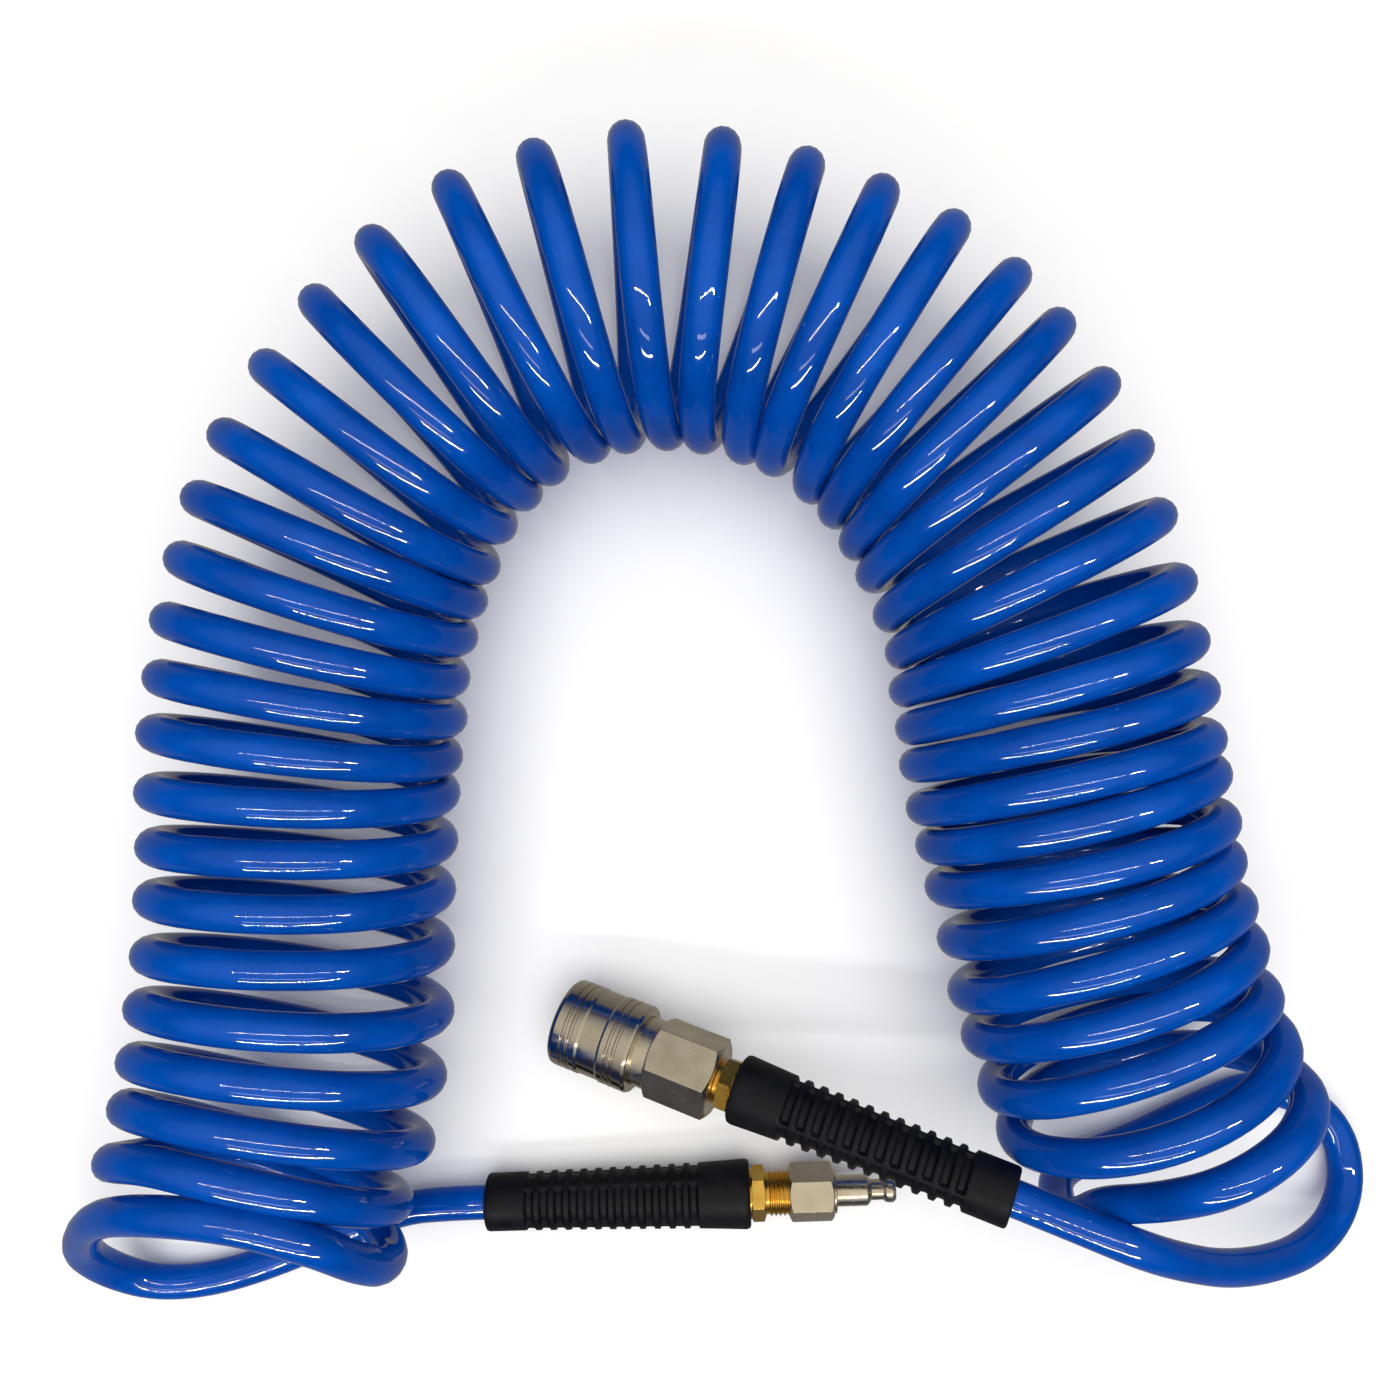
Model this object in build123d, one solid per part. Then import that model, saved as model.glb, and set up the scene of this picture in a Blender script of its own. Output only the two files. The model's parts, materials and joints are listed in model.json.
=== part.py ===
from build123d import *
import os
from math import cos, sin, tan, radians, sqrt, pi

# Coiled air hose: a polyurethane spring hose with a swivelling quick plug on one
# end and a swivelling quick coupler on the other.  Millimetres, +Z up, standing on z = 0.
# The origin is under the middle of the whole object's box.

# ---------------- driving dimensions ----------------
HOSE_OD = 10.0
HOSE_ID = 6.5
COIL_R = 42.0            # outside radius of the coiled stretch
BOOT_LEN = 80.0          # bend restrictor
BOOT_R0, BOOT_R1 = 8.3, 10.0
SLOT_N, SLOT_PITCH, SLOT_W, SLOT_S0, SLOT_DEPTH = 12, 4.5, 2.3, 12.4, 1.35
HEX_BRASS_AF = 14.0
HEX_PLUG_AF = 15.0
HEX_BODY_AF = 21.0
THREAD_R = 6.55          # G1/4 crest radius
THREAD_BORE_R = 6.58
THREAD_PITCH = 1.337
SPIGOT_R = 4.20          # swivel journal
SPIGOT_BORE_R = 4.25
NOSE_R = 4.5             # plug stem
MOUTH_R = 4.55           # coupler bore
CAGE_R = 6.4
BALL_R = 2.0
BALL_U = 12.7            # ball plane, from the coupler's front
BALL_LOCKED_R = 5.0      # ball centre from the axis
CONE_DEG = 20.0          # sleeve cam: ball travel / sleeve travel = tan(20)
SLEEVE_TRAVEL = 4.15
VALVE_TRAVEL = 4.0

X0, Y0 = -1.44, 0.77      # centring of the box over the origin

# end assemblies: hose mouth of the boot, and the direction from it to the fitting's tip
PLUG_MOUTH = Vector(-73.2 + X0, -139.65 + Y0, 8.4)
PLUG_DIR = Vector(0.9989, 0.0410, 0.0206).normalized()
COUPLER_DIR_BACK = Vector(0.910, -0.263, 0.318).normalized()   # from the mouth of the coupler to the hose
COUPLER_FRONT = Vector(-48.7 + X0, -83.05 + Y0, 12.42)
COUPLER_LEN = 136.0
COUPLER_HOSE = COUPLER_FRONT + COUPLER_DIR_BACK * COUPLER_LEN

os.makedirs("parts", exist_ok=True)
done = {}


def frame(origin, direction):
    """Plane whose local +Z is the fitting's axis and whose local +X is the most upright way across it."""
    d = direction.normalized()
    up = Vector(0, 0, 1)
    x = (up - d * up.dot(d)).normalized()
    return Plane(origin=origin, x_dir=x, z_dir=d)


PLUG = frame(PLUG_MOUTH, PLUG_DIR)                  # s = 0 at the hose, growing to the tip
HOSEEND = frame(COUPLER_HOSE, COUPLER_DIR_BACK * -1)  # s = 0 at the hose, growing to the mouth
MOUTH = frame(COUPLER_FRONT, COUPLER_DIR_BACK)      # u = 0 at the mouth, growing to the hose


def put(shape, plane):
    return shape.moved(plane.location)


def turned(pts, arc=360.0):
    """Solid of revolution about local Z from (r, z) points."""
    line = Polyline(*[(r, 0, z) for r, z in pts], close=True)
    return revolve(make_face(line), axis=Axis.Z, revolution_arc=arc)


def tube(r_in, r_out, z0, z1):
    if r_in <= 0:
        return turned([(0, z0), (r_out, z0), (r_out, z1), (0, z1)])
    return turned([(r_in, z0), (r_out, z0), (r_out, z1), (r_in, z1)])


def hexagon(af, z0, z1, cham=0.7, spin=0.0, ends=(True, True)):
    r_ac = af / sqrt(3.0)
    prism = extrude(Rot(0, 0, spin) * RegularPolygon(af / 2, 6, major_radius=False), z1 - z0)
    prism = Pos(0, 0, z0) * prism
    c = (r_ac - af / 2 + 0.35)
    a = cham if ends[0] else 0.0
    b = cham if ends[1] else 0.0
    lim = turned([(0, z0), (r_ac + 0.05 - (c if a else 0), z0), (r_ac + 0.05, z0 + a + 0.001),
                  (r_ac + 0.05, z1 - b - 0.001), (r_ac + 0.05 - (c if b else 0), z1), (0, z1)])
    return prism & lim


def save(name, shape):
    sol = shape.solids()
    out = sol[0] if len(sol) == 1 else Compound(children=list(sol))
    out.label = name
    export_step(out, "parts/" + name + ".step")
    done[name] = (len(sol), sum(s.volume for s in sol))


def cord_tube(name, pts, r):
    """Round tube along straight runs joined by tangent arcs, as large as the runs allow."""
    v = [Vector(*p) for p in pts]
    radii = []
    for i in range(1, len(v) - 1):
        a, b = v[i] - v[i - 1], v[i + 1] - v[i]
        turn = a.get_angle(b)
        radii.append(0.45 * min(a.length, b.length) / tan(radians(turn) / 2))
        print(name, i, "runs %.1f %.1f turn %.1f radius %.1f" % (a.length, b.length, turn, radii[-1]))
    path = FilletPolyline(*pts, radius=radii)
    sec = Plane(origin=path @ 0, z_dir=path % 0) * Circle(r)
    sol = sweep(sec, path=path)
    want = pi * r * r * path.length
    print(name, "length %.1f volume %.1f section x length %.1f" % (path.length, sol.volume, want))
    return sol


# ---------------- hose: the coiled stretch, one solid of its outer shape ----------------
COIL_AXIS = [
    (-131.5, -120.8), (-119.0, -60.3), (-119.0, -8.0), (-115.1, 31.6), (-105.3, 65.7),
    (-86.0, 97.5), (-55.0, 122.0), (-15.4, 128.6), (21.4, 119.8), (52.3, 100.8),
    (73.6, 70.8), (85.6, 34.6), (90.9, -2.9), (98.9, -43.5), (112.6, -90.4),
]
save("coil_body", cord_tube("coil_body", [(x + X0, y + Y0, COIL_R) for x, y in COIL_AXIS], COIL_R))

# ---------------- hose: the two open ends, from the boots to the coil ----------------
PLUG_TAIL = [
    (-99.5, -142.4, 6.0), (-117.0, -149.2, 5.2),
    (-136.5, -157.8, 5.2), (-156.5, -164.4, 5.1), (-174.5, -166.0, 5.6), (-185.6, -158.6, 13.0),
    (-187.8, -145.8, 28.0), (-177.6, -131.6, 46.0), (-164.6, -121.0, 62.0), (-145.6, -114.5, 76.0),
    (-122.6, -116.5, 79.6), (-105.0, -126.0, 76.0), (-96.5, -141.0, 63.0), (-95.0, -149.0, 48.0),
    (-97.0, -150.0, 30.0), (-108.5, -137.5, 12.0), (-129.0, -133.0, 5.2), (-148.0, -127.0, 6.4),
    (-164.0, -119.4, 20.0), (-170.8, -114.4, 41.0), (-163.0, -107.0, 62.0),
]
COUPLER_TAIL = [
    (107.0, -130.0, 61.8), (122.0, -137.6, 52.5),
    (137.5, -144.0, 42.5), (154.5, -147.8, 31.5), (170.5, -148.6, 20.8), (183.6, -143.6, 12.2),
    (190.4, -132.6, 6.6), (189.0, -121.0, 5.1), (179.6, -112.4, 5.1), (163.5, -108.8, 5.2),
    (144.0, -113.0, 5.1), (125.0, -119.6, 5.6), (112.0, -128.5, 10.5), (103.5, -132.0, 24.0),
    (101.5, -130.5, 40.0), (99.5, -121.0, 50.0), (104.5, -117.0, 62.0), (111.0, -114.0, 71.0),
    (121.6, -106.6, 79.8), (138.6, -97.8, 77.0),
    (151.6, -91.6, 62.5), (156.0, -89.2, 42.0), (150.0, -89.4, 21.5), (135.4, -92.0, 7.0),
    (116.0, -96.0, 4.9), (96.6, -100.0, 7.4), (84.0, -102.6, 20.0),
]
for nm, pts, mouth, out in (("hose_tail_plug_side", PLUG_TAIL, PLUG_MOUTH, PLUG_DIR * -13.3),
                            ("hose_tail_coupler_side", COUPLER_TAIL, COUPLER_HOSE, COUPLER_DIR_BACK * 17.7)):
    start = [tuple(mouth), tuple(mouth + out)]      # straight out of the boot
    save(nm, cord_tube(nm, start + [(x + X0, y + Y0, max(z, 5.05)) for x, y, z in pts], HOSE_OD / 2))


# ---------------- what both ends share: boot, crimped stem and swivel ----------------
def boot(first):
    b = turned([
        (5.1, 0.0), (BOOT_R0 - 0.9, 0.0), (BOOT_R0 - 0.25, 0.3), (BOOT_R0, 1.0), (BOOT_R0 + 0.05, 12.0),
        (BOOT_R0 + 0.55, 40.0), (BOOT_R0 + 1.05, 65.0), (BOOT_R1 - 0.25, 74.0), (BOOT_R1, 78.6), (BOOT_R1 - 0.3, 79.6),
        (BOOT_R1 - 0.9, BOOT_LEN), (7.6, BOOT_LEN), (7.6, 65.7), (5.85, 65.7), (5.85, 41.0), (5.1, 41.0)])
    cutters = []
    for i in range(SLOT_N):
        # each slot is as deep below the tapered outside
        f = BOOT_R0 + 0.05 + 0.5 * i * SLOT_PITCH / 28.0 - SLOT_DEPTH
        seg = turned([(f, 0), (12, 0), (12, SLOT_W), (f, SLOT_W)], arc=79.0)
        for q in range(4):
            cutters.append(Pos(0, 0, SLOT_S0 + i * SLOT_PITCH) * Rot(0, 0, 90 * q + first) * seg)
    return b - cutters


def inner_hose():
    return tube(HOSE_ID / 2, HOSE_OD / 2, 0.0, 59.9)


def stem():
    pts = [(2.0, 40.0), (2.9, 40.0)]
    z = 40.6
    while z < 57.5:
        pts += [(3.2, z + 2.4), (2.8, z + 2.5)]
        z += 2.9
    pts += [(3.2, 60.0), (5.7, 60.0), (5.7, 65.6), (SPIGOT_R, 65.6),
            (SPIGOT_R, 68.0), (3.72, 68.0), (3.72, 69.0), (SPIGOT_R, 69.0),
            (SPIGOT_R, 73.0), (2.70, 73.0), (2.70, 75.0), (SPIGOT_R, 75.0),
            (SPIGOT_R, 78.1), (SPIGOT_R - 0.4, 78.5), (2.0, 78.5)]
    return turned(pts)


def ferrule():
    pts = [(5.05, 42.0), (5.7, 42.0)]
    for z in (45.0, 49.0, 53.0, 57.0):
        pts += [(5.7, z - 0.5), (5.45, z), (5.7, z + 0.5)]
    pts += [(5.7, 59.9), (5.05, 59.9)]
    return turned(pts)


def nipple():
    prof = [(SPIGOT_BORE_R, 65.9), (7.3, 65.9), (7.3, 80.6), (6.3, 80.6), (6.3, 84.9), (5.9, 84.9), (5.9, 85.4)]
    z = 85.4 + 0.35
    while z < 98.4:
        prof += [(5.95, z), (THREAD_R, z + 0.45), (THREAD_R, z + 0.65), (5.95, z + 1.1)]
        z += THREAD_PITCH
    prof += [(5.7, 99.6), (3.0, 99.6), (3.0, 79.5), (SPIGOT_BORE_R, 79.5),
             (SPIGOT_BORE_R, 69.05), (4.73, 69.05), (4.73, 67.95), (SPIGOT_BORE_R, 67.95)]
    hexa = hexagon(HEX_BRASS_AF, 80.3, 84.6, cham=0.5, spin=12) - tube(0, 6.2, 79, 86)
    return turned(prof) + hexa


def snap_ring():
    # open wire ring: three quarters and a bit of a torus
    ring = Torus(4.225, 0.45, major_angle=335)
    return Pos(0, 0, 68.5) * ring


def oring():
    return Pos(0, 0, 74.0) * Torus(3.45, 0.72)


for side, pl, first in (("plug", PLUG, -43.0), ("coupler", HOSEEND, -11.5)):
    save("boot_%s_side" % side, put(boot(first), pl))
    save("hose_end_%s_side" % side, put(inner_hose(), pl))
    save("barb_stem_%s_side" % side, put(stem(), pl))
    save("crimp_ferrule_%s_side" % side, put(ferrule(), pl))
    save("swivel_nipple_%s_side" % side, put(nipple(), pl))
    save("snap_ring_%s_side" % side, put(snap_ring(), pl))
    save("swivel_o_ring_%s_side" % side, put(oring(), pl))

# ---------------- quick plug ----------------
plug_turned = turned([
    (THREAD_BORE_R, 91.8), (7.2, 91.8), (7.2, 105.2), (6.4, 105.2), (6.4, 105.8), (6.2, 106.0), (NOSE_R, 106.0),
    (NOSE_R, 115.3), (NOSE_R - 0.3, 115.6), (3.9, 116.0), (3.0, 116.6), (3.0, 120.2), (3.3, 120.5), (3.65, 121.0),
    (3.8, 121.7), (3.8, 122.9), (3.5, 123.6), (3.0, 124.0), (2.0, 124.0),
    (2.0, 101.5), (THREAD_BORE_R, 101.5)])
plug_hex = hexagon(HEX_PLUG_AF, 91.8, 105.2, cham=0.9, spin=20) - tube(0, 7.0, 91, 106)
save("plug_body", put(plug_turned + plug_hex, PLUG))
save("plug_thread_seal", put(tube(3.1, 6.4, 99.65, 101.45), PLUG))

# ---------------- quick coupler (u from its mouth) ----------------
cage_prof = [
    (MOUTH_R + 0.6, 0.5), (CAGE_R - 0.4, 0.5), (CAGE_R, 0.9), (CAGE_R, 1.9), (6.15, 1.9), (6.15, 3.6), (CAGE_R, 3.6),
    (CAGE_R, 24.2), (7.45, 24.7), (7.45, 32.2), (5.5, 32.2), (5.5, 20.2), (3.1, 20.2), (3.1, 19.0), (4.0, 19.0),
    (4.0, 16.0), (4.85, 16.0), (4.85, 10.4), (MOUTH_R, 10.4), (MOUTH_R, 1.1)]
cage = turned(cage_prof)
holes = []
for k in range(4):
    holes.append(Rot(0, 0, 45 + 90 * k) * Pos(5.5, 0, BALL_U) * Rot(0, 90, 0) * Cylinder(BALL_R + 0.05, 3.4))
save("ball_cage", put(cage - holes, MOUTH))

for k in range(4):
    save("locking_ball_%d" % (k + 1), put(Rot(0, 0, 45 + 90 * k) * Pos(BALL_LOCKED_R, 0, BALL_U) * Sphere(BALL_R), MOUTH))

# sleeve: knurl-free outside with paired grooves, cam cone inside
t = tan(radians(CONE_DEG))
cone_r = BALL_LOCKED_R + (BALL_R + 0.05) / cos(radians(CONE_DEG))     # cone radius at the ball plane
u_small = BALL_U + (cone_r - (CAGE_R + 0.05)) / t
u_big = BALL_U - (9.6 - cone_r) / t
print("sleeve cone from u %.2f (r 9.6) to u %.2f (r 6.45)" % (u_big, u_small))


def groove(z, w=1.1, d=0.55):
    return [(13.0, z - w / 2), (13.0 - d, z - w / 2 + 0.2), (13.0 - d, z + w / 2 - 0.2), (13.0, z + w / 2)]


outer = [(9.6, 0.0), (11.4, 0.0), (12.2, 0.25), (12.75, 0.75), (13.0, 1.6)]
for z in (4.6, 6.8):
    outer += groove(z)
outer += [(13.0, 9.2), (12.7, 9.8), (12.7, 16.0), (13.0, 16.6)]
for z in (18.8, 21.0):
    outer += groove(z)
outer += [(13.0, 24.6), (12.6, 25.3), (12.2, 25.5), (10.35, 25.5)]
inner = [(10.35, 16.9), (CAGE_R + 0.05, 16.9), (CAGE_R + 0.05, u_small), (9.6, u_big), (9.6, 5.0), (6.9, 5.0), (6.9, 3.6), (9.6, 3.6)]
save("locking_sleeve", put(turned(outer + inner), MOUTH))

save("sleeve_stop_ring", put(Pos(0, 0, 2.77) * Torus(7.0, 0.8, major_angle=330), MOUTH))


def spring(radius, wire, z0, z1, turns, rings=True):
    """Round-wire compression spring between two planes."""
    h = (z1 - z0) - 2 * wire
    helix = Helix(pitch=h / turns, height=h, radius=radius)
    sec = Plane(origin=helix @ 0, z_dir=helix % 0) * Circle(wire)
    return Pos(0, 0, z0 + wire) * sweep(sec, path=helix, is_frenet=True)


save("sleeve_spring", put(spring(8.4, 0.45, 16.95, 24.55, 2.5), MOUTH))

body_turned = turned([
    (7.5, 24.6), (10.05, 24.6), (10.25, 24.8), (10.25, 50.0), (THREAD_BORE_R, 50.0),
    (THREAD_BORE_R, 35.5), (3.2, 35.5), (3.2, 33.5), (7.5, 33.5)])
body_hex = hexagon(HEX_BODY_AF, 30.0, 50.0, cham=1.1, spin=6) - tube(0, 10.1, 29, 51)
save("coupler_body", put(body_turned + body_hex, MOUTH))
save("body_o_ring", put(Pos(0, 0, 32.85) * Torus(6.3, 0.6), MOUTH))
save("body_thread_seal", put(tube(3.3, 6.4, 35.55, 36.3), MOUTH))

# check valve inside the coupler
guide = tube(1.55, 5.4, 29.5, 31.5) - [Rot(0, 0, 120 * k) * Pos(3.5, 0, 30.5) * Cylinder(1.2, 4) for k in range(3)]
save("valve_guide", put(guide, MOUTH))
poppet = turned([(0, 15.1), (1.9, 15.1), (2.6, 15.9), (2.6, 21.3), (4.6, 21.3), (4.6, 23.0), (1.5, 23.0), (1.5, 31.0), (0, 31.0)])
poppet = poppet - [Rot(0, 0, 90 * k) * Pos(2.6, 0, 17.4) * Box(1.6, 1.4, 4.8) for k in range(4)]
save("valve_poppet", put(poppet, MOUTH))
save("poppet_seal", put(tube(2.65, 4.5, 20.25, 21.25), MOUTH))
save("valve_spring", put(spring(3.0, 0.3, 23.05, 29.45, 3.5), MOUTH))

for n, (k, v) in done.items():
    print("%-26s solids %d volume %.1f" % (n, k, v))
print("nodes", len(done))
print("coupler frame", MOUTH.origin, MOUTH.z_dir, MOUTH.x_dir, MOUTH.y_dir)
print("plug frame", PLUG.origin, PLUG.z_dir, PLUG.x_dir)
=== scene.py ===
import bpy, json, math
import numpy as np
from mathutils import Vector, Matrix


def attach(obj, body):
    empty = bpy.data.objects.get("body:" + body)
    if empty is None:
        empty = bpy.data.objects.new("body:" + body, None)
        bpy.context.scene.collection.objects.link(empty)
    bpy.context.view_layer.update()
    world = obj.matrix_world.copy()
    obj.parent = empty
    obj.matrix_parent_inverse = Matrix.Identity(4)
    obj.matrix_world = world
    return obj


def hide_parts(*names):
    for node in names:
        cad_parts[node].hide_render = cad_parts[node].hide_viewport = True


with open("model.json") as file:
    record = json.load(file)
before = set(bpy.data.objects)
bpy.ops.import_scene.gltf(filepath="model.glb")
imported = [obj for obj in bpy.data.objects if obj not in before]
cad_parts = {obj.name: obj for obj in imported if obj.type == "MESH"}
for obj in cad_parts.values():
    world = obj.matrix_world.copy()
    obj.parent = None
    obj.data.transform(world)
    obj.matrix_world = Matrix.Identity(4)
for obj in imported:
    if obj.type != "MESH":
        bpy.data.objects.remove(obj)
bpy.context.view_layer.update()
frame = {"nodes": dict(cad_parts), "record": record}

MM = 0.001
X0, Y0 = -1.44, 0.77

# ------------------------------------------------------------------ hose route
# tail routes, millimetres: the CAD tubes' points, with the two inner tips moved a few millimetres to follow the photograph
A_DIR = Vector((0.910732, -0.263212, 0.318256))            # coupler: mouth -> hose
P_DIR = Vector((0.998947, 0.041002, 0.020601))             # plug: hose -> tip
PLUG_MOUTH = Vector((-73.2 + X0, -139.65 + Y0, 8.4))
COUPLER_FRONT = Vector((-48.7 + X0, -83.05 + Y0, 12.42))
COUPLER_HOSE = COUPLER_FRONT + A_DIR * 136.0

PLUG_TAIL = [
    (-99.5, -142.4, 6.0), (-117.0, -149.2, 5.2),
    (-136.5, -157.8, 5.2), (-156.5, -164.4, 5.1), (-174.5, -166.0, 5.6), (-185.6, -158.6, 13.0),
    (-187.8, -145.8, 28.0), (-177.6, -131.6, 46.0), (-164.6, -121.0, 62.0), (-145.6, -114.5, 76.0),
    (-122.6, -115.0, 79.6), (-105.0, -122.0, 76.0), (-97.0, -133.0, 63.0), (-94.6, -141.0, 48.0),
    (-96.5, -144.0, 31.0), (-108.5, -140.5, 14.5), (-129.0, -133.5, 5.2), (-148.0, -127.0, 6.4),
    (-164.0, -119.4, 20.0), (-170.8, -114.4, 41.0), (-163.0, -107.0, 62.0),
]
COUPLER_TAIL = [
    (107.0, -130.0, 61.8), (122.0, -137.6, 52.5),
    (137.5, -144.0, 42.5), (154.5, -147.8, 31.5), (170.5, -148.6, 20.8), (183.6, -143.6, 12.2),
    (190.4, -132.6, 6.6), (188.0, -118.0, 5.1), (177.0, -108.5, 5.1), (162.0, -104.5, 5.2),
    (143.0, -113.0, 5.1), (124.0, -122.0, 5.6), (107.0, -127.0, 7.5), (97.0, -129.0, 17.0),
    (94.0, -131.5, 32.0), (95.5, -130.0, 43.0), (100.5, -122.5, 51.0), (110.0, -116.5, 64.5),
    (121.6, -106.6, 79.8), (138.6, -97.8, 77.0),
    (151.6, -91.6, 62.5), (156.0, -89.2, 42.0), (150.0, -89.4, 21.5), (135.4, -92.0, 7.0),
    (116.0, -97.5, 5.1), (97.5, -103.0, 7.4), (85.5, -106.6, 20.0),
]
# the wound turns: outer and inner side of each turn seen from above, and how far its top leans along the coil
OUT = [(-179.6, -143.4), (-169.2, -114.0), (-165.4, -99.3), (-162.3, -86.1), (-160.0, -70.6), (-157.9, -55.9), (-156.9, -40.2), (-156.3, -25.9), (-156.6, -11.0), (-156.1, 5.1), (-154.5, 19.7), (-152.5, 35.2), (-148.7, 52.1), (-144.3, 67.9), (-137.1, 85.0), (-125.8, 103.7), (-112.1, 121.3), (-97.4, 136.8), (-76.4, 151.9), (-53.8, 160.4), (-29.1, 165.5), (-3.1, 163.9), (20.2, 158.6), (40.1, 151.4), (59.7, 141.8), (76.4, 128.7), (88.1, 115.6), (100.2, 99.8), (109.5, 82.8), (115.7, 64.4), (121.1, 46.8), (124.6, 30.9), (127.4, 17.5), (129.3, 4.5), (130.6, -4.8), (133.0, -17.4), (134.4, -27.7), (137.4, -40.3), (140.3, -50.6), (144.3, -64.3), (148.4, -75.3), (153.9, -89.7)]
INN = [(-98.4, -144.5), (-93.3, -126.3), (-87.4, -109.7), (-84.3, -91.9), (-82.3, -73.8), (-82.2, -55.7), (-81.9, -40.3), (-81.3, -26.4), (-80.7, -13.1), (-80.0, -2.7), (-78.7, 8.1), (-78.0, 19.2), (-75.8, 30.7), (-73.1, 41.0), (-69.8, 50.5), (-65.3, 61.8), (-58.3, 71.1), (-51.1, 78.3), (-39.7, 84.7), (-30.0, 87.6), (-18.6, 88.6), (-8.7, 87.8), (2.9, 84.9), (11.4, 81.7), (22.1, 74.2), (29.0, 67.1), (35.0, 58.1), (39.7, 49.1), (44.6, 38.0), (48.1, 27.5), (49.2, 16.7), (51.0, 6.1), (52.1, -4.3), (54.0, -16.3), (56.7, -26.9), (59.3, -38.5), (62.7, -52.9), (65.7, -67.7), (69.4, -80.2), (74.3, -95.1), (79.0, -107.6), (98.5, -124.0)]
LEAN = [25.7, 15.3, 12.0, 8.7, 5.1, 3.2, 1.2, 0.6, -1.0, -1.0, -0.5, -1.3, -2.3, -1.2, -2.5, -2.9, -3.1, -1.9, -2.9, -2.0, -2.2, -1.5, -2.1, -1.1, -2.3, -2.0, -1.3, -1.2, -1.5, -1.4, -0.7, -0.5, -0.3, -0.6, -0.7, -0.6, -1.4, -3.1, -1.9, -3.1, 2.1, -3.1]


def natural(xs, ys):
    """Natural cubic spline through (xs, ys)."""
    xs = np.asarray(xs, float); ys = np.asarray(ys, float)
    n = len(xs); h = np.diff(xs)
    a = np.zeros((n, n)); b = np.zeros(n)
    a[0, 0] = a[-1, -1] = 1.0
    for i in range(1, n - 1):
        a[i, i - 1], a[i, i], a[i, i + 1] = h[i - 1], 2 * (h[i - 1] + h[i]), h[i]
        b[i] = 6 * ((ys[i + 1] - ys[i]) / h[i] - (ys[i] - ys[i - 1]) / h[i - 1])
    m = np.linalg.solve(a, b)

    def f(x):
        i = int(min(max(np.searchsorted(xs, x) - 1, 0), n - 2))
        d0, d1 = xs[i + 1] - x, x - xs[i]
        return ((m[i] * d0 ** 3 + m[i + 1] * d1 ** 3) / (6 * h[i])
                + (ys[i] / h[i] - m[i] * h[i] / 6) * d0 + (ys[i + 1] / h[i] - m[i + 1] * h[i] / 6) * d1)
    return f


K = np.arange(-1, 41)
fox, foy = natural(K, [p[0] for p in OUT]), natural(K, [p[1] for p in OUT])
fix, fiy = natural(K + 0.5, [p[0] for p in INN]), natural(K + 0.5, [p[1] for p in INN])
flean = natural(K + 0.25, LEAN)
PER_TURN = 12
OPEN = 1.0 / 0.9665          # control points of a round turn stand this far outside its line


def turn_point(t):
    ox, oy, ix, iy = fox(t), foy(t), fix(t), fiy(t)
    e = 0.02
    mx = (fox(t + e) + fix(t + e) - fox(t - e) - fix(t - e))
    my = (foy(t + e) + fiy(t + e) - foy(t - e) - fiy(t - e))
    n = math.hypot(mx, my)
    c, s = math.cos(2 * math.pi * t), math.sin(2 * math.pi * t)
    x = (ox + ix) / 2 + OPEN * ((ox - ix) / 2 * c + mx / n * flean(t) * s)
    y = (oy + iy) / 2 + OPEN * ((oy - iy) / 2 * c + my / n * flean(t) * s)
    return (x, y, 42 + 37.0 * OPEN * s)


T_FIRST, T_LAST = 2, 12 * 39 + 6       # twelfths of a turn
route = [tuple(PLUG_MOUTH), tuple(PLUG_MOUTH - P_DIR * 13.3)]
route += [(x + X0, y + Y0, z) for x, y, z in PLUG_TAIL]
coil = [turn_point(j / PER_TURN) for j in range(T_FIRST, T_LAST + 1)]
route += [(x + X0, y + Y0, z) for x, y, z in coil]
route += [(x + X0, y + Y0, z) for x, y, z in reversed(COUPLER_TAIL)]
route += [tuple(COUPLER_HOSE + A_DIR * 17.7), tuple(COUPLER_HOSE)]

cu = bpy.data.curves.new("hose", "CURVE")
cu.dimensions = "3D"
sp = cu.splines.new("NURBS")
sp.points.add(len(route) - 1)
for p, q in zip(sp.points, route):
    p.co = (q[0] * MM, q[1] * MM, q[2] * MM, 1.0)
    p.radius = 0.005
sp.order_u = 3
sp.use_endpoint_u = True
sp.resolution_u = 6
cu.twist_mode = "MINIMUM"
cu.bevel_depth = 1.0                 # times each point's radius of 5 mm
cu.bevel_resolution = 6
cu.use_fill_caps = True
hose = bpy.data.objects.new("hose", cu)
bpy.context.scene.collection.objects.link(hose)
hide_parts("coil_body", "hose_tail_plug_side", "hose_tail_coupler_side")
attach(hose, "hose")


# ------------------------------------------------------------------ materials
def srgb(r, g, b):
    f = lambda c: (c / 12.92 if c <= 0.04045 else ((c + 0.055) / 1.055) ** 2.4)
    return (f(r / 255), f(g / 255), f(b / 255), 1.0)


def material(name, color, rough, metal=0.0, **kw):
    m = bpy.data.materials.new(name)
    m.use_nodes = True
    b = m.node_tree.nodes["Principled BSDF"]
    b.inputs["Base Color"].default_value = color
    b.inputs["Roughness"].default_value = rough
    b.inputs["Metallic"].default_value = metal
    for k, v in kw.items():
        b.inputs[k.replace("_", " ")].default_value = v
    return m


def add(m, kind, **props):
    n = m.node_tree.nodes.new(kind)
    for k, v in props.items():
        setattr(n, k, v)
    return n


def link(m, a, b):
    m.node_tree.links.new(a, b)


def noise(m, scale, detail=3.0, rough=0.5, stretch=None):
    co = add(m, "ShaderNodeTexCoord")
    n = add(m, "ShaderNodeTexNoise")
    n.inputs["Scale"].default_value = scale
    n.inputs["Detail"].default_value = detail
    n.inputs["Roughness"].default_value = rough
    link(m, co.outputs["Object"], n.inputs["Vector"])
    return n


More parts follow.
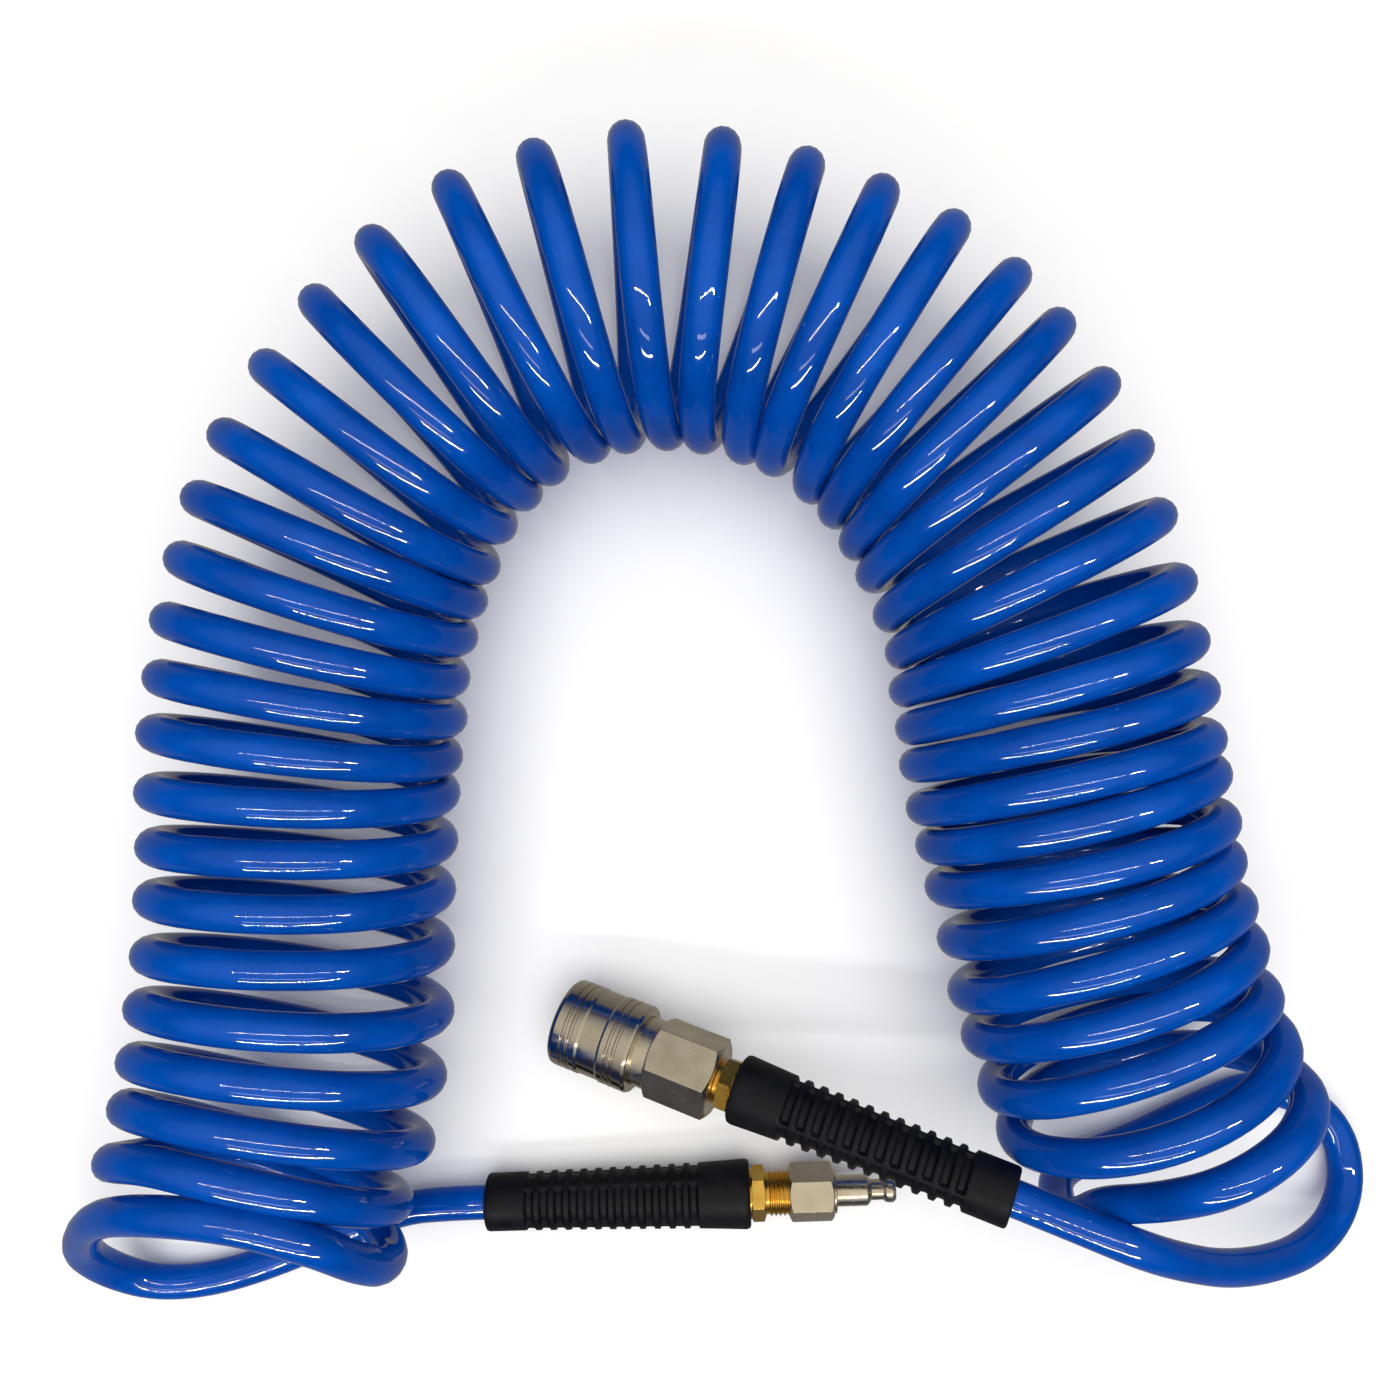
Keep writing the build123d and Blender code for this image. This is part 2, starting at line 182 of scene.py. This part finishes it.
def ramp(m, src, a, b, lo=0.35, hi=0.65):
    r = add(m, "ShaderNodeValToRGB")
    r.color_ramp.elements[0].position = lo
    r.color_ramp.elements[1].position = hi
    r.color_ramp.elements[0].color = a if len(a) == 4 else (*a, 1)
    r.color_ramp.elements[1].color = b if len(b) == 4 else (*b, 1)
    link(m, src, r.inputs["Fac"])
    return r


def bsdf(m):
    return m.node_tree.nodes["Principled BSDF"]


def bumps(m, layers):
    """layers of (height socket, distance in metres, strength), one over another."""
    last = None
    for h, dist, strength in layers:
        b = add(m, "ShaderNodeBump")
        b.inputs["Distance"].default_value = dist
        b.inputs["Strength"].default_value = strength
        link(m, h, b.inputs["Height"])
        if last is not None:
            link(m, last.outputs["Normal"], b.inputs["Normal"])
        last = b
    link(m, last.outputs["Normal"], bsdf(m).inputs["Normal"])


def soft_edges(m, radius):
    """Rounds the look of sharp edges: a bevelled normal under the material's bumps."""
    bv = add(m, "ShaderNodeBevel", samples=6)
    bv.inputs["Radius"].default_value = radius
    first = next(n for n in m.node_tree.nodes if n.bl_idname == "ShaderNodeBump" and not n.inputs["Normal"].is_linked)
    link(m, bv.outputs["Normal"], first.inputs["Normal"])


# polyurethane tube: deep clear blue, slightly cloudy skin, faint drawing lines and specks
m_hose = material("hose_polyurethane", srgb(0, 78, 184), 0.07)
bsdf(m_hose).inputs["Specular IOR Level"].default_value = 0.27
v = noise(m_hose, 55, 5, 0.6)
link(m_hose, ramp(m_hose, v.outputs["Fac"], srgb(0, 66, 158), srgb(0, 82, 184), 0.3, 0.7).outputs["Color"], bsdf(m_hose).inputs["Base Color"])
w = noise(m_hose, 900, 3)
r = ramp(m_hose, w.outputs["Fac"], (0.02,) * 3, (0.06,) * 3, 0.3, 0.75)
link(m_hose, r.outputs["Color"], bsdf(m_hose).inputs["Roughness"])
bumps(m_hose, [(noise(m_hose, 220, 2).outputs["Fac"], 0.0002, 0.1), (w.outputs["Fac"], 0.00001, 0.15)])
hose.data.materials.append(m_hose)

# moulded rubber: nearly black, fine grain, dusty shine in patches
m_boot = material("boot_rubber", srgb(20, 20, 24), 0.5)
bsdf(m_boot).inputs["Specular IOR Level"].default_value = 0.26
g = noise(m_boot, 1500, 4)
p = noise(m_boot, 160, 5, 0.65)
link(m_boot, ramp(m_boot, p.outputs["Fac"], srgb(9, 9, 12), srgb(20, 20, 24), 0.35, 0.7).outputs["Color"], bsdf(m_boot).inputs["Base Color"])
link(m_boot, ramp(m_boot, p.outputs["Fac"], (0.38,) * 3, (0.62,) * 3, 0.3, 0.7).outputs["Color"], bsdf(m_boot).inputs["Roughness"])
bumps(m_boot, [(p.outputs["Fac"], 0.0002, 0.3), (g.outputs["Fac"], 0.0001, 0.4)])
soft_edges(m_boot, 0.00045)


def boot_mesh(name, node, origin, axis, first):
    """Bend restrictor with rounded ribs: a grid of rings whose radius dips in the slots, closed through its bore."""
    ax = axis.normalized()
    bx = (Vector((0, 0, 1)) - ax * ax.z).normalized()
    by = ax.cross(bx)
    prof = [(0.0, 7.4), (0.3, 8.05), (1.0, 8.3), (12.0, 8.35), (40.0, 8.85), (65.0, 9.35), (74.0, 9.75), (78.6, 10.0), (79.6, 9.7), (80.0, 9.1)]
    ss = [0.0, 0.15, 0.3, 0.6, 1.0, 3.0, 6.0, 9.0, 11.0] + [11.5 + 0.3 * i for i in range(178)]
    ss += [66.0, 70.0, 74.0, 76.5, 78.6, 79.1, 79.6, 79.85, 80.0]
    n_t = 160
    step = lambda v: (lambda u: u * u * (3 - 2 * u))(min(max(v, 0.0), 1.0))
    rings = []
    for s in ss:
        r0 = float(np.interp(s, [p[0] for p in prof], [p[1] for p in prof]))
        k = (s - 12.4) / 4.5
        i = int(math.floor(k + 0.25))
        across = 0.0
        if 0 <= i < 12:
            mid = 12.4 + 4.5 * i + 1.15
            across = step((1.15 + 0.42 - abs(s - mid)) / 0.84)
        ring = []
        for j in range(n_t):
            th = 2 * math.pi * j / n_t
            w = (math.degrees(th) - first) % 90.0 - 39.5          # middle of the window at 0
            if w > 45.25:
                w -= 90.0
            along = step((math.radians(39.5 - abs(w)) * 8.5 + 0.4) / 0.8)
            r = r0 - 1.3 * across * along
            ring.append((origin + ax * s + (bx * math.cos(th) + by * math.sin(th)) * r) * MM)
        rings.append(ring)
    for s, r in ((80.0, 7.6), (65.7, 7.6), (65.7, 5.85), (41.0, 5.85), (41.0, 5.1), (0.0, 5.1)):
        rings.append([(origin + ax * s + (bx * math.cos(t) + by * math.sin(t)) * r) * MM
                      for t in (2 * math.pi * j / n_t for j in range(n_t))])
    verts = [v for ring in rings for v in ring]
    faces = []
    for a in range(len(rings)):
        b = (a + 1) % len(rings)
        for j in range(n_t):
            k = (j + 1) % n_t
            faces.append((a * n_t + j, a * n_t + k, b * n_t + k, b * n_t + j))
    me = bpy.data.meshes.new(name)
    me.from_pydata([tuple(v) for v in verts], [], faces)
    me.polygons.foreach_set("use_smooth", [True] * len(faces))
    me.set_sharp_from_angle(angle=math.radians(50))
    me.materials.append(m_boot)
    me.update()
    o = bpy.data.objects.new(name, me)
    bpy.context.scene.collection.objects.link(o)
    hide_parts(node)
    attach(o, "hose")
    return o


boot_mesh("ribbed_boot_plug", "boot_plug_side", PLUG_MOUTH, P_DIR, -43.0)
boot_mesh("ribbed_boot_coupler", "boot_coupler_side", COUPLER_HOSE, -A_DIR, -11.5)

m_brass = material("brass_machined", srgb(226, 172, 66), 0.24, 1.0)
g = noise(m_brass, 1100, 3)
link(m_brass, ramp(m_brass, noise(m_brass, 150, 4).outputs["Fac"], srgb(220, 164, 58), srgb(246, 202, 102), 0.3, 0.7).outputs["Color"], bsdf(m_brass).inputs["Base Color"])
link(m_brass, ramp(m_brass, g.outputs["Fac"], (0.2,) * 3, (0.3,) * 3, 0.3, 0.7).outputs["Color"], bsdf(m_brass).inputs["Roughness"])
bumps(m_brass, [(g.outputs["Fac"], 0.00002, 0.25)])
soft_edges(m_brass, 0.00025)

# nickel plating over forged and turned steel: warm, with the pebbled skin of the hex flats
m_nickel = material("nickel_plated", srgb(206, 192, 168), 0.24, 1.0)
g = noise(m_nickel, 700, 5, 0.6)
p = noise(m_nickel, 240, 3)
link(m_nickel, ramp(m_nickel, noise(m_nickel, 130, 4).outputs["Fac"], srgb(208, 194, 168), srgb(232, 220, 196), 0.3, 0.7).outputs["Color"], bsdf(m_nickel).inputs["Base Color"])
link(m_nickel, ramp(m_nickel, g.outputs["Fac"], (0.16,) * 3, (0.36,) * 3, 0.3, 0.7).outputs["Color"], bsdf(m_nickel).inputs["Roughness"])
bumps(m_nickel, [(p.outputs["Fac"], 0.00004, 0.14), (g.outputs["Fac"], 0.00002, 0.16)])
soft_edges(m_nickel, 0.0004)

# the same plating on turned faces: smoother, so it mirrors the room
m_turned = material("nickel_turned", srgb(208, 196, 174), 0.14, 1.0)
g = noise(m_turned, 900, 3)
link(m_turned, ramp(m_turned, noise(m_turned, 110, 4).outputs["Fac"], srgb(196, 184, 162), srgb(220, 210, 190), 0.3, 0.7).outputs["Color"], bsdf(m_turned).inputs["Base Color"])
link(m_turned, ramp(m_turned, g.outputs["Fac"], (0.10,) * 3, (0.18,) * 3, 0.3, 0.7).outputs["Color"], bsdf(m_turned).inputs["Roughness"])
bumps(m_turned, [(noise(m_turned, 200, 2).outputs["Fac"], 0.00003, 0.08), (g.outputs["Fac"], 0.00001, 0.1)])
soft_edges(m_turned, 0.00025)

m_steel = material("bright_steel", srgb(170, 170, 172), 0.25, 1.0)
link(m_steel, ramp(m_steel, noise(m_steel, 1200, 4).outputs["Fac"], (0.18,) * 3, (0.34,) * 3).outputs["Color"], bsdf(m_steel).inputs["Roughness"])
m_seal = material("seal_nitrile", srgb(22, 22, 22), 0.5)
link(m_seal, ramp(m_seal, noise(m_seal, 1500, 4).outputs["Fac"], (0.4,) * 3, (0.62,) * 3).outputs["Color"], bsdf(m_seal).inputs["Roughness"])

BY_SLOT = {"hose_blue": m_hose, "boot_rubber": m_boot, "brass": m_brass, "nickel": m_nickel, "steel": m_steel, "seal_rubber": m_seal}
for s in frame["record"]["subparts"]:
    o = frame["nodes"][s["node"]]
    for ms in o.material_slots:
        ms.material = m_turned if s["node"] in ("locking_sleeve", "ball_cage") else BY_SLOT[s["material_slot"]]

# ------------------------------------------------------------------ stage, light, camera
mesh = bpy.data.meshes.new("floor")
F = 3.0
mesh.from_pydata([(-F, -F, 0), (F, -F, 0), (F, F, 0), (-F, F, 0)], [], [(0, 1, 2, 3)])
floor = bpy.data.objects.new("floor", mesh)
bpy.context.scene.collection.objects.link(floor)
m_floor = material("floor_paper", (0.94, 0.94, 0.94, 1), 0.9)
bsdf(m_floor).inputs["Emission Color"].default_value = (1, 1, 1, 1)
bsdf(m_floor).inputs["Emission Strength"].default_value = 0.06
mesh.materials.append(m_floor)

floor.visible_glossy = False

# a room with a pale ceiling and a dark blue-grey band round the walls
world = bpy.data.worlds.new("studio")
bpy.context.scene.world = world
world.use_nodes = True
wt = world.node_tree
bg = wt.nodes["Background"]
bg.inputs["Strength"].default_value = 1.0
co = wt.nodes.new("ShaderNodeTexCoord")
sx = wt.nodes.new("ShaderNodeSeparateXYZ")
mr = wt.nodes.new("ShaderNodeMapRange")
mr.inputs["From Min"].default_value = -1.0
wr = wt.nodes.new("ShaderNodeValToRGB")
cr = wr.color_ramp
cr.elements[0].position, cr.elements[0].color = 0.0, (0.30, 0.29, 0.27, 1)
cr.elements[1].position, cr.elements[1].color = 1.0, (0.80, 0.77, 0.70, 1)
for pos, col in ((0.40, (0.16, 0.16, 0.17)), (0.50, (0.015, 0.022, 0.06)), (0.66, (0.02, 0.03, 0.075)), (0.76, (0.30, 0.31, 0.34)), (0.86, (0.56, 0.54, 0.50))):
    e = cr.elements.new(pos)
    e.color = (*col, 1)
wt.links.new(co.outputs["Generated"], sx.inputs["Vector"])
wt.links.new(sx.outputs["Z"], mr.inputs["Value"])
wt.links.new(mr.outputs["Result"], wr.inputs["Fac"])
wt.links.new(wr.outputs["Color"], bg.inputs["Color"])
bpy.context.scene.view_settings.view_transform = "Standard"


def area(name, loc, target, sx, sy, power, color=(1, 1, 1), glossy=True, diffuse=True, only=None):
    l = bpy.data.lights.new(name, "AREA")
    l.shape = "RECTANGLE"
    l.size, l.size_y, l.energy, l.color = sx, sy, power, color
    o = bpy.data.objects.new(name, l)
    o.location = loc
    o.rotation_euler = (Vector(target) - Vector(loc)).to_track_quat("-Z", "Y").to_euler()
    o.visible_glossy = glossy
    o.visible_diffuse = diffuse
    bpy.context.scene.collection.objects.link(o)
    if only is not None:
        o.light_linking.receiver_collection = only
    return o


area("soft_top", (0.0, 0.05, 1.35), (0, 0, 0), 1.3, 1.3, 12.6, glossy=False)
area("card_front", (-0.05, -0.60, 0.78), (0, 0, 0.03), 0.85, 0.06, 1.6)
# rows of small lamps that only the hose mirrors, as the photograph's highlights show
glossy_hose = bpy.data.collections.new("lamp_receivers")
glossy_hose.objects.link(hose)
for n, (yy, zz, pw) in enumerate(((-0.80, 0.60, 1.0), (-0.10, 0.85, 0.22))):
    for i in range(26):
        x = -0.50 + i * 0.040
        area("lamp_%d_%02d" % (n, i), (x, yy, zz), (x * 0.4, 0, 0.03), 0.02, 0.02, pw, diffuse=False, only=glossy_hose)
area("strip_right", (0.62, -0.10, 0.74), (0, 0, 0.03), 0.04, 0.16, 5.0, diffuse=False, only=glossy_hose)

cam_data = bpy.data.cameras.new("camera")
cam_data.sensor_width = 36.0
cam_data.lens = 36.0 * 1196.0 / 1400.0
cam_data.clip_start = 0.01
cam = bpy.data.objects.new("camera", cam_data)
cam.location = ((-8.5 + X0) * MM, (13.75 + Y0) * MM, 0.374)
cam.rotation_euler = (0, 0, 0)
bpy.context.scene.collection.objects.link(cam)
bpy.context.scene.camera = cam

bpy.context.view_layer.update()
